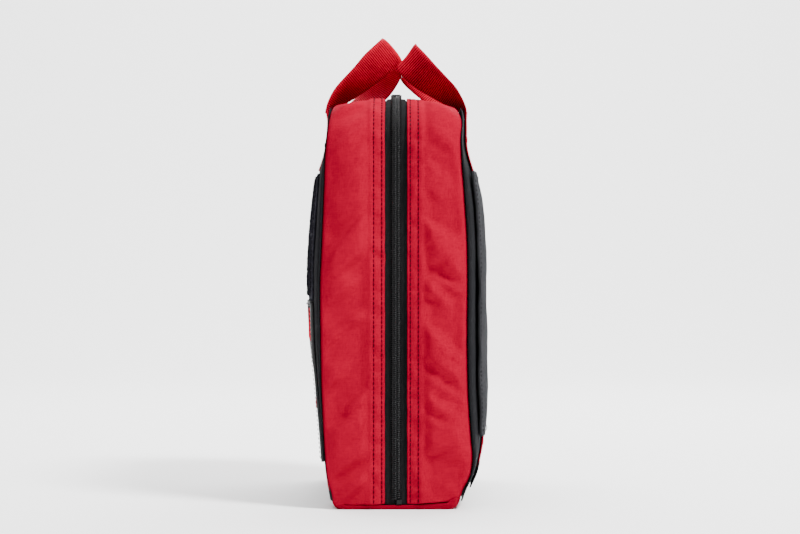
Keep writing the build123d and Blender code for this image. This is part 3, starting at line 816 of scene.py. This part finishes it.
# ---------------------------------------------------------------- handles
# Each key: x, y, z of the webbing's middle, width (mm), how far it has turned from lying
# along X (degrees), and the outward tilt of its upper edge above level (degrees).
FRONT_HANDLE_KEYS = [
    (42, -50.6, 282.4, 25, 1, 40), (42.4, -48.3, 286.6, 25, 10, 38),
    (43, -43.8, 290.9, 25, 21, 38), (44, -38.5, 296.3, 25, 32, 40),
    (45, -30.6, 302.9, 25, 40, 41), (45, -22.5, 310.1, 25, 47, 42),
    (45, -15.6, 316.8, 25, 57, 45), (44.8, -6.8, 324.2, 24, 67, 48),
    (43.8, -2.0, 328.6, 23.5, 76, 50), (39.5, -1.8, 329.8, 23, 83, 50),
    (32, -3.2, 329.6, 22, 87, 50), (15, -4.4, 329.3, 22, 88, 49), (0, -4.8, 329.4, 22, 89, 48),
    (-15, -4.6, 329.2, 22, 88, 49), (-32, -3.8, 328.7, 22, 86, 50),
    (-39, -3.4, 327.6, 22, 81, 50), (-43.6, -4.0, 324, 23, 72, 46), (-45, -7.2, 317, 24, 63, 40),
    (-45, -13.7, 306.4, 25, 54, 38), (-44.5, -21, 298.8, 25, 46, 40),
    (-44, -29, 293.8, 25, 34, 46), (-43, -40.5, 289.7, 25, 16, 46),
    (-42.3, -47.6, 286.2, 25, 3, 50), (-42, -50.6, 282.4, 25, 1, 40)]
BACK_HANDLE_KEYS = [
    (53.4, 50.7, 280.4, 25, 1, 40), (53, 48.9, 284.8, 25, 10, 38),
    (52.2, 43.9, 289.5, 25, 22, 42), (51.6, 38.5, 295.2, 25, 33, 43),
    (51, 30.1, 301.9, 25, 43, 43), (51, 20.7, 309.2, 25, 57, 45), (51, 12.4, 317.4, 24.5, 70, 48),
    (50.8, 7.4, 322.4, 24, 78, 51), (48.6, 7.2, 323.6, 23, 83, 50),
    (42.5, 9.6, 323.6, 21.5, 87, 54), (30, 10.6, 324.2, 21, 89, 62),
    (10, 10.4, 324.8, 21, 89, 70), (-10, 10.4, 324.8, 21, 89, 70), (-30, 10.6, 324.4, 21, 89, 64),
    (-42, 10.4, 324.8, 22.5, 88, 56), (-48.6, 11.4, 322.8, 23, 82, 50),
    (-51, 14.8, 318.6, 24, 71, 44), (-51, 22, 311.5, 25, 60, 42), (-51, 30.5, 302.6, 25, 48, 42),
    (-51.6, 38.5, 295, 25, 33, 43), (-52.2, 44, 289.5, 25, 22, 42),
    (-53, 48.9, 284.8, 25, 10, 38), (-53.4, 50.7, 280.4, 25, 1, 40)]
HANDLE_STEP = 1.0          # mm along the handle before smoothing
HANDLE_SOFTNESS = 4        # smoothing window, steps each way
HANDLE_BOW = 0.9 * MM      # where a handle stands on edge, its two edges bow away this far
HANDLE_WOBBLE = 0.4        # mm


def smooth_rows(rows, reach):
    """Averages each row with its neighbours; the ends stay put."""
    out = rows.copy()
    for i in range(len(rows)):
        r = min(reach, i, len(rows) - 1 - i)
        out[i] = rows[i - r:i + r + 1].mean(axis=0)
    return out


def make_handle(node, keys, outward, seed):
    """A webbing loop that turns edge-on above its sewn ends and leans over the zip."""
    keys = np.array(keys, float)
    steps = np.linalg.norm(np.diff(keys[:, :3], axis=0), axis=1)
    distance = np.concatenate([[0], np.cumsum(steps)])
    even = np.arange(0, distance[-1], HANDLE_STEP)
    rows = np.stack([np.interp(even, distance, keys[:, k]) for k in range(6)], axis=1)
    rows = smooth_rows(smooth_rows(rows, HANDLE_SOFTNESS), HANDLE_SOFTNESS - 1)
    centres, widths, bows = [], [], []
    for x, y, z, _, turn, tilt in rows:
        turn, tilt = math.radians(turn), math.radians(tilt)
        edge = np.array((0.0, outward * math.cos(tilt), math.sin(tilt)))
        wide = edge * math.sin(turn) + np.array((math.copysign(1.0, x), 0, 0)) * math.cos(turn)
        wobble = HANDLE_WOBBLE * noise.noise(Vector((x * 0.05, z * 0.05, seed)))
        centres.append(((x + wobble) * MM, (y + wobble) * MM, z * MM))
        widths.append(wide)
        bows.append(HANDLE_BOW * math.sin(turn) ** 2)
    make_webbing(f"{node}_webbing", centres, widths, rows[:, 3] * MM, "red_webbing", node, [node],
                 bows)


def strap_end(name, side, joint, x, z_low, z_high, replaces=()):
    """The sewn end of a handle: it lies on the panel and lifts off to the handle's foot."""
    root = np.array(next(j["pos_m"] for j in frame["joints"] if j["name"] == joint), float)
    centres = [np.array((x, panel_depth(side, x, z, 0.9 * MM), z))
               for z in np.linspace(z_low, z_high, 60)]
    last = centres[-1]
    for t in (0.35, 0.7, 1.0):
        centres.append(last * (1 - t) + np.array((x, root[1], root[2])) * t)
    widths = [ALONG_X] * len(centres)
    make_webbing(name, centres, widths, STRAP_WIDTH, "red_webbing", BODY[side], replaces)


TACK_LIFT = 2.0 * MM


def bar_tack(name, side, x, z, replaces=()):
    """A dense zigzag of thread across a strap."""
    points = []
    for k in range(40):
        px = x + (k / 39 - 0.5) * 21 * MM
        pz = z + (1.1 * MM if k % 2 else -1.1 * MM)
        points.append((px, panel_depth(side, px, pz, TACK_LIFT), pz))
    new_piece(name, *tubes([points], 0.4 * MM), "thread", BODY[side], replaces)


# ---------------------------------------------------------------- bottom panel
BASE_TURN = 9 * MM         # the front and back edges turn up over this much
BASE_SIDE_TURN = 6 * MM    # and the two sides over this much


def make_base():
    """One canvas panel under both halves, turned up at its edges."""
    rows, columns = 130, 72
    front, back = float(FRONT_SEAM[0][0]) * MM, float(BACK_SEAM[0][0]) * MM
    vertices = []
    for i in range(rows):
        u = 2 * i / (rows - 1) - 1
        for j in range(columns):
            t = j / (columns - 1)
            y = front + (back - front) * t
            x = u * (HALF_WIDTH - 0.6 * MM)
            near = max(0.0, (abs(x) - (HALF_WIDTH - 6.5 * MM)) / BASE_SIDE_TURN)
            edge = min(y - front, back - y)
            turned = max(0.0, 1 - edge / BASE_TURN)
            lift = 1 - math.sqrt(max(0.0, 1 - min(1.0, near**2 + turned**2)))
            crease = 0.5 * MM * fbm(x * 60, y * 45, 3.3, 3) * min(1.0, near + turned + 0.05)
            z = 0.1 * MM + lift * (4.2 + 2.0 * smoothstep(y / (38 * MM)) + 3.6 * turned) * MM
            z += max(-0.2 * MM, crease)
            vertices.append((x, y, z))
    # its canvas is the red canvas with painted shade: darker, for the shade under the bag
    piece = new_piece("bottom_panel_cloth", vertices, grid_faces(rows, columns, flip=True),
                      "base_canvas", None, ["front_base", "back_base"])
    thicken(piece, 1.2 * MM)
    subdivide(piece)
    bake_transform(piece)


# ---------------------------------------------------------------- inside cloth
LINING_INSET = 4.5 * MM    # keeps the lining's sides clear of the gusset's folds


def make_lining(side):
    rows, columns = 70, 50
    vertices = []
    for i in range(rows):
        z = 5 * MM + (PANEL_TOP - 9 * MM) * i / (rows - 1)
        half = panel_half_width(z) - LINING_INSET
        for j in range(columns):
            x = half * (2 * j / (columns - 1) - 1)
            wave = 0.5 * MM * fbm(x * 16, z * 16, side * 2.2, 3)
            depth = seam_at(side, z) - (3.6 * MM + abs(wave))
            vertices.append((x, side * depth, z))
    half_name = HALF_NAME[side]
    piece = new_piece(f"{half_name}_lining_cloth", vertices, grid_faces(rows, columns, side < 0),
                      "lining", BODY[side], [f"{half_name}_lining"])
    thicken(piece, 0.5 * MM)


def make_foam(side):
    """The foam sheet between a panel's cover and its lining."""
    rows, columns = 46, 34
    outer, inner = [], []
    for i in range(rows):
        z = 9 * MM + (PANEL_TOP - 18 * MM) * i / (rows - 1)
        half = panel_half_width(z) - 8 * MM
        for j in range(columns):
            x = half * (2 * j / (columns - 1) - 1)
            outer.append((x, side * (seam_at(side, z) - 0.5 * MM), z))
            inner.append((x, side * (seam_at(side, z) - 2.9 * MM), z))
    new_piece(f"{HALF_NAME[side]}_foam_sheet", outer + inner,
                        shell_faces(rows, columns, side > 0), "foam", BODY[side],
                        [f"{HALF_NAME[side]}_foam"])


def make_binding(side):
    """Binding tape folded round the inside seam allowance."""
    length = outline_length(5 * MM)
    rows = 240
    vertices = []
    for i in range(rows):
        s = length * i / (rows - 1)
        x, z, nx, nz = outline_at(s, 5 * MM)
        for k in range(8):
            a = 2 * math.pi * k / 8
            inset = 3.2 * MM + MM * math.sin(a) + SHOULDER_DROP * max(nz, 0)
            depth = seam_at(side, z) - 8 * MM + 3.6 * MM * math.cos(a)
            wave = 0.25 * MM * fbm(s * 90, k, side, 2)
            vertices.append((x - nx * (inset + wave), side * depth, z - nz * (inset + wave)))
    new_piece(f"{HALF_NAME[side]}_binding_tape", vertices, tube_faces(rows, 8), "elastic",
              BODY[side], [f"{HALF_NAME[side]}_seam_binding"])


POCKET_DEPTH = 12 * MM     # the nets' edges fall back this far, onto the lining


def make_pocket(side, node, hem_node):
    """A net pocket: diamond mesh over a gently bulged face, with a gathered elastic hem."""
    low, high = box(node)
    face_depth = low[1] if side > 0 else high[1]
    columns, rows = 71, 42
    vertices = []
    for i in range(rows):
        t = i / (rows - 1)
        z = low[2] + (high[2] - low[2] - MM) * t
        for j in range(columns):
            u = 2 * j / (columns - 1) - 1
            x = u * high[0]
            wall = smoothstep((1 - abs(u)) * 12) * smoothstep(t * 8 + 0.1)
            sag = 0.8 * MM * math.sin(j * 0.9) * t * wall
            depth = face_depth + side * (POCKET_DEPTH * (1 - wall) - sag + 0.6 * MM)
            vertices.append((x, depth, z))
    faces = []
    for i in range(rows - 1):
        for j in range(columns - 1):
            a, b = i * columns + j, i * columns + j + 1
            c, d = b + columns, a + columns
            faces += [(a, b, d), (b, c, d)] if (i + j) % 2 else [(a, b, c), (a, c, d)]
    piece = new_piece(f"{node}_net", vertices, faces, "mesh", BODY[side], [node])
    wire = piece.modifiers.new("net", "WIREFRAME")
    wire.thickness = 0.5 * MM
    centres, widths = [], []
    for j in range(120):
        u = 2 * j / 119 - 1
        gather = 0.5 * MM * math.sin(j * 1.3)
        wall = smoothstep((1 - abs(u)) * 12)
        depth = face_depth + side * (POCKET_DEPTH * (1 - wall) - 0.4 * MM - gather * wall)
        centres.append((u * high[0], depth, high[2] - 4 * MM))
        widths.append(UPRIGHT)
    make_webbing(f"{hem_node}_band", centres, widths, 8 * MM, "elastic", BODY[side], [hem_node],
                 thick=0.8 * MM)


def make_roll(node, look, body, axis=2, layer=1.5 * MM, core=0.22):
    """A wound roll: its ends show the wound layers and its side the loose last turn."""
    low, high = box(node)
    centre = (low + high) / 2
    radial = [k for k in range(3) if k != axis]
    radius = (high[radial[0]] - low[radial[0]]) / 2 - 0.4 * MM
    half = (high[axis] - low[axis]) / 2 - 0.8 * MM
    profile = []
    for t in np.linspace(0, 1, 26):
        r = radius * (core + (1 - core) * t)
        profile.append((r, half + 0.45 * MM * math.sin(2 * math.pi * r / layer) - 1.2 * MM * t**6))
    for t in np.linspace(1, -1, 26)[1:-1]:
        profile.append((radius + 0.25 * MM * math.sin(t * 60), half * t * 0.985))
    profile += [(r, -h) for r, h in profile[25::-1]]
    profile.append((radius * core, -half * 0.5))
    profile.append((radius * core, half * 0.5))
    around = 56
    vertices = []
    for k in range(around):
        a = 2 * math.pi * k / around
        for r, h in profile:
            swell = 1 + 0.012 * fbm(math.cos(a) * 2, math.sin(a) * 2, h * 40, 2)
            point = centre.copy()
            point[radial[0]] += r * swell * math.cos(a)
            point[radial[1]] += r * swell * math.sin(a)
            point[axis] += h
            vertices.append(point)
    count = len(profile)
    faces = []
    for k in range(around):
        n = (k + 1) % around
        for i in range(count):
            m = (i + 1) % count
            faces.append((k * count + i, k * count + m, n * count + m, n * count + i))
    new_piece(f"{node}_wound", vertices, faces, look, body, [node])


SEAL = 7 * MM


def make_pack(node, look, body):
    """A sealed soft pack: a puffed middle inside a flat crimped border."""
    low, high = box(node)
    centre, size = (low + high) / 2, (high - low) / 2
    columns, rows = 60, 66
    shells = []
    for face in (-1, 1):
        for i in range(rows):
            v = 2 * i / (rows - 1) - 1
            for j in range(columns):
                u = 2 * j / (columns - 1) - 1
                edge = min((1 - abs(u)) * size[0], (1 - abs(v)) * size[2])
                puff = smoothstep((edge - SEAL) / (16 * MM)) ** 0.7
                rough = 0.9 * MM * fbm(u * 5, v * 5, face * 3 + centre[0] * 50, 3)
                crimp = 0.25 * MM * math.sin(edge * 2600) if edge < SEAL else 0.0
                thick = 0.35 * MM + (size[1] - 0.9 * MM) * puff + rough * puff
                x = centre[0] + u * (size[0] - 0.5 * MM)
                z = centre[2] + v * (size[2] - 0.5 * MM)
                shells.append((x, centre[1] + face * thick + crimp, z))
    new_piece(f"{node}_sealed", shells, shell_faces(rows, columns), look, body, [node])


def make_roll_loops():
    """One elastic band stitched down between the rolls and looped over each of them."""
    low, high = box("roll_loops")
    level = (low[2] + high[2]) / 2
    back = high[1] - 0.6 * MM
    centres = [(low[0], back, level)]
    for node in ("gauze_roll_1", "elastic_bandage_1", "gauze_roll_2", "elastic_bandage_2",
                 "gauze_roll_3"):
        a, b = box(node)
        x, y, r = (a[0] + b[0]) / 2, (a[1] + b[1]) / 2, (b[0] - a[0]) / 2 + 0.7 * MM
        for angle in np.linspace(math.radians(150), math.radians(390), 40):
            centres.append((x + r * math.cos(angle), y + r * math.sin(angle), level))
    centres.append((high[0], back, level))
    widths = [UPRIGHT] * len(centres)
    make_webbing("roll_loops_band", centres, widths, 24 * MM, "elastic", "back_half",
                 ["roll_loops"], thick=0.7 * MM)


def make_tourniquet():
    low, high = box("tourniquet_strap")
    middle = (low + high) / 2
    centres = []
    for turn in range(2):
        reach_y = (high[1] - low[1]) / 2 - (1.2 + 1.8 * turn) * MM
        reach_z = (high[2] - low[2]) / 2 - (1.2 + 1.8 * turn) * MM
        straight = reach_z - reach_y
        for a in np.linspace(-math.pi, math.pi, 60, endpoint=False):
            y = reach_y * math.cos(a)
            z = reach_y * math.sin(a) + math.copysign(straight, math.sin(a) + 1e-9)
            centres.append((middle[0], middle[1] + y, middle[2] + z))
    widths = [ALONG_X] * len(centres)
    make_webbing("tourniquet_strap_folds", centres, widths, 37 * MM, "elastic", "front_half",
                 ["tourniquet_strap"], thick=1.2 * MM)


# ---------------------------------------------------------------- build the bag
for side in (-1, 1):
    make_gusset(side)
    make_hem_stitches(side)
    make_zip_tape(side)
    make_zip_coil(side)
    make_panel(side)
    make_lining(side)
    make_foam(side)
    make_binding(side)
make_base()

make_patch("loop_panel_backing", -1, face_limits("loop_panel", bottom=-MM), 6 * MM, 0.2 * MM,
           1.1 * MM, "loop_pile", ["loop_panel"], ripple=0.5 * MM)


PILE_LOOPS = 5200


def make_pile():
    """Tiny loops of pile standing off the loop panel."""
    x0, x1, z0, z1 = face_limits("loop_panel", 2 * MM, 3 * MM, 2 * MM)
    paths = []
    for _ in range(PILE_LOOPS):
        x = random.uniform(x0, x1)
        z = random.uniform(z0, z1)
        y = panel_depth(-1, x, z, 1.2 * MM)
        turn = random.uniform(0, math.pi)
        rise = random.uniform(0.6, 1.5) * MM
        reach = random.uniform(0.5, 1.1) * MM
        dx, dz = math.cos(turn) * reach, math.sin(turn) * reach
        paths.append([(x + dx * along, y - rise * up, z + dz * along)
                      for along, up in ((-1, 0), (-0.7, 0.8), (0, 1), (0.7, 0.7), (1, 0))])
    new_piece("loop_pile_loops", *tubes(paths, 0.16 * MM, 4), "loop_pile", "front_half")


make_pile()

WINDOW_HALF = (16 * MM, 12.5 * MM)
WINDOW_PITCH = 38 * MM
PINHOLE = 1.3 * MM
bands = {row: box(f"lashing_webbing_{row}") for row in ("lower", "upper")}
levels = {row: (low[2] + high[2]) / 2 for row, (low, high) in bands.items()}
windows = []
for level in levels.values():
    for k in range(-2, 3):
        windows.append((k * WINDOW_PITCH, level, *WINDOW_HALF, 3.5 * MM))
    for k in range(-3, 3):
        for dz in (-15.5 * MM, 15.5 * MM):
            windows.append(((k + 0.5) * WINDOW_PITCH, level + dz, PINHOLE, PINHOLE, PINHOLE))
make_patch("lashing_laminate", -1, face_limits("lashing_panel", top=MM), 6 * MM, 0.6 * MM,
           1.9 * MM, "laminate", ["lashing_panel"], MM, windows, ripple=0.25 * MM, seed=4.0)
make_patch("lashing_backer_cloth", -1, face_limits("lashing_panel", MM, MM, 2 * MM), 6 * MM,
           0.1 * MM, 0.5 * MM, "black_canvas", ["lashing_backer"])
for row, level in levels.items():
    x0, x1, _, _ = face_limits("lashing_panel", 2 * MM)
    centres = [(x, panel_depth(-1, x, level, 1.3 * MM), level) for x in np.linspace(x0, x1, 140)]
    make_webbing(f"lashing_webbing_{row}_band", centres, [UPRIGHT] * len(centres), 26 * MM,
                 "red_webbing", "front_half", [f"lashing_webbing_{row}"], thick=1.2 * MM)

make_patch("back_sleeve_cloth", 1, face_limits("back_sleeve"), 6 * MM, 1.8 * MM, 1.6 * MM,
           "sleeve_canvas", ["back_sleeve"], ripple=0.9 * MM, seed=2.0)
make_patch("back_foot_strip_cloth", 1, face_limits("back_foot_strip", bottom=2.5 * MM), 2 * MM,
           1.3 * MM, 0.9 * MM, "black_canvas", ["back_foot_strip"], ripple=0.5 * MM, seed=6.0)


def border_stitches(name, side, limits, inset, lift, look):
    """A topstitch row just inside a patch's edge."""
    x0, x1, z0, z1 = (limits[0] + inset, limits[1] - inset, limits[2] + inset, limits[3] - inset)
    corners = ((x0, z0), (x1, z0), (x1, z1), (x0, z1))
    paths = []
    for (ax, az), (bx, bz) in zip(corners, corners[1:] + corners[:1]):
        length = math.hypot(bx - ax, bz - az)

        def at(d, ax=ax, az=az, bx=bx, bz=bz, length=length):
            t = min(max(d / length, 0), 1)
            x, z = ax + (bx - ax) * t, az + (bz - az) * t
            return x, panel_depth(side, x, z, lift), z

        paths += stitch_paths(at, length, 3.2 * MM, 2.2 * MM)
    new_piece(name, *tubes(paths, 0.3 * MM), look, BODY[side])


border_stitches("loop_panel_stitches", -1, face_limits("loop_panel", bottom=MM), 3 * MM,
                2.0 * MM, "thread")
border_stitches("lashing_stitches", -1, face_limits("lashing_panel", top=MM), 2.5 * MM,
                3.1 * MM, "thread")
border_stitches("sleeve_stitches", 1, face_limits("back_sleeve"), 3 * MM, 3.7 * MM, "elastic")

straps, strap_ends = box("back_straps"), box("front_strap_ends")
STRAP_X = straps[1][0] - STRAP_WIDTH / 2
FRONT_STRAP_X = strap_ends[1][0] - STRAP_WIDTH / 2
BACK_STRAP_TOP, FRONT_STRAP_TOP = 276 * MM, 277 * MM
BACK_TACK, BACK_TACK_LOW, FRONT_TACK = 262 * MM, 43 * MM, 259 * MM
for label, x in (("left", -1), ("right", 1)):
    # the left piece of each pair stands for the CAD node, which holds both
    strap_end(f"back_strap_{label}", 1, "back_handle_swing", x * STRAP_X, straps[0][2],
              BACK_STRAP_TOP, ["back_straps"] if x < 0 else ())
    strap_end(f"front_strap_end_{label}", -1, "front_handle_swing", x * FRONT_STRAP_X,
              strap_ends[0][2], FRONT_STRAP_TOP, ["front_strap_ends"] if x < 0 else ())
    bar_tack(f"back_tack_{label}", 1, x * STRAP_X, BACK_TACK,
             ["back_bar_tacks"] if x < 0 else ())
    bar_tack(f"back_tack_low_{label}", 1, x * STRAP_X, BACK_TACK_LOW)
    bar_tack(f"front_tack_{label}", -1, x * FRONT_STRAP_X, FRONT_TACK,
             ["front_bar_tacks"] if x < 0 else ())

make_handle("front_handle", FRONT_HANDLE_KEYS, -1, 1.0)
make_handle("back_handle", BACK_HANDLE_KEYS, 1, 5.0)

# ---------------------------------------------------------------- inside the bag
make_pocket(1, "back_pocket", "back_pocket_hem")
make_pocket(-1, "front_pocket", "front_pocket_hem")
for node in ("gauze_roll_1", "gauze_roll_2", "gauze_roll_3"):
    make_roll(node, "gauze", "back_half")
for node in ("elastic_bandage_1", "elastic_bandage_2"):
    make_roll(node, "bandage", "back_half", layer=2.1 * MM)
make_roll("tape_roll", "tape_cloth", "front_half", 1, 0.7 * MM, 0.53)
make_roll_loops()
make_pack("dressing_pack_1", "wrapper", "back_half")
make_pack("dressing_pack_2", "wrapper", "back_half")
make_pack("glove_pack", "glove_bag", "front_half")
make_pack("rescue_blanket_pack", "foil", "front_half")
make_tourniquet()

KEPT_LOOKS = {
    "zip_stops": "zip_coil",
    "slider_left": "zip_metal", "slider_right": "zip_metal",
    "pull_tab_left": "zip_metal", "pull_tab_right": "zip_metal",
    "tape_core": "cardboard", "shears_pad": "elastic", "tweezers": "steel",
    "shears_upper_half": "steel", "shears_lower_half": "steel", "shears_rivet": "steel",
    "tourniquet_buckle": "black_plastic", "tourniquet_windlass": "black_plastic",
}
for node, look in KEPT_LOOKS.items():
    piece = bpy.data.objects[node]
    piece.data.materials.clear()
    piece.data.materials.append(LOOKS[look][0])

# ---------------------------------------------------------------- floor, light and camera
SWEEP_START, SWEEP_RADIUS, STUDIO_HALF = 1.6, 1.2, 6.0
sweep = [(STUDIO_HALF, 0.0)]
for k in range(17):
    a = math.pi / 2 * k / 16
    sweep.append((-SWEEP_START - SWEEP_RADIUS * math.sin(a), SWEEP_RADIUS * (1 - math.cos(a))))
sweep.append((-SWEEP_START - SWEEP_RADIUS, STUDIO_HALF))
floor_mesh = bpy.data.meshes.new("floor")
floor_mesh.from_pydata([(x, y, z) for x, z in sweep for y in (-STUDIO_HALF, STUDIO_HALF)], [],
                       grid_faces(len(sweep), 2))
for polygon in floor_mesh.polygons:
    polygon.use_smooth = True
floor = bpy.data.objects.new("floor", floor_mesh)
bpy.context.scene.collection.objects.link(floor)
paper = Nodes("pale floor")
paper.finish((0.92, 0.92, 0.92, 1.0), 0.9)
floor_mesh.materials.append(paper.material)

world = bpy.data.worlds.new("studio")
bpy.context.scene.world = world
world.use_nodes = True
background = world.node_tree.nodes["Background"]
background.inputs["Color"].default_value = (1, 1, 1, 1)
background.inputs["Strength"].default_value = 0.38


def area_light(name, place, target, size, power):
    data = bpy.data.lights.new(name, "AREA")
    data.shape = "RECTANGLE"
    data.size, data.size_y = size
    data.energy = power
    light = bpy.data.objects.new(name, data)
    light.location = place
    light.rotation_euler = (Vector(target) - Vector(place)).to_track_quat("-Z", "Y").to_euler()
    bpy.context.scene.collection.objects.link(light)


AIM = (0, 0, 0.16)
area_light("key", (1.1, 1.2, 2.0), AIM, (0.5, 0.5), 152)
area_light("fill", (1.5, -1.5, 0.7), AIM, (0.9, 0.9), 12)
area_light("top", (-0.1, -0.3, 2.0), AIM, (0.8, 0.8), 20)
area_light("rear", (-1.2, 0.4, 1.3), AIM, (1.0, 1.0), 14)
area_light("backdrop", (-0.9, 0.0, 2.4), (-2.6, 0, 0.6), (3.0, 1.0), 170)

CAMERA_RANGE = 1.5         # from the near side of the bag
CAMERA_Y, CAMERA_HEIGHT = 2.8 * MM, 170 * MM
VIEW_WIDTH = 0.560         # the picture's width, measured on the near side's plane
SENSOR = 36
camera_data = bpy.data.cameras.new("camera")
camera_data.sensor_width = SENSOR
camera_data.lens = SENSOR * CAMERA_RANGE / VIEW_WIDTH
camera = bpy.data.objects.new("camera", camera_data)
camera.location = (HALF_WIDTH + CAMERA_RANGE, CAMERA_Y, CAMERA_HEIGHT)
camera.rotation_euler = (math.radians(90), 0, math.radians(90))
bpy.context.scene.collection.objects.link(camera)
bpy.context.scene.camera = camera
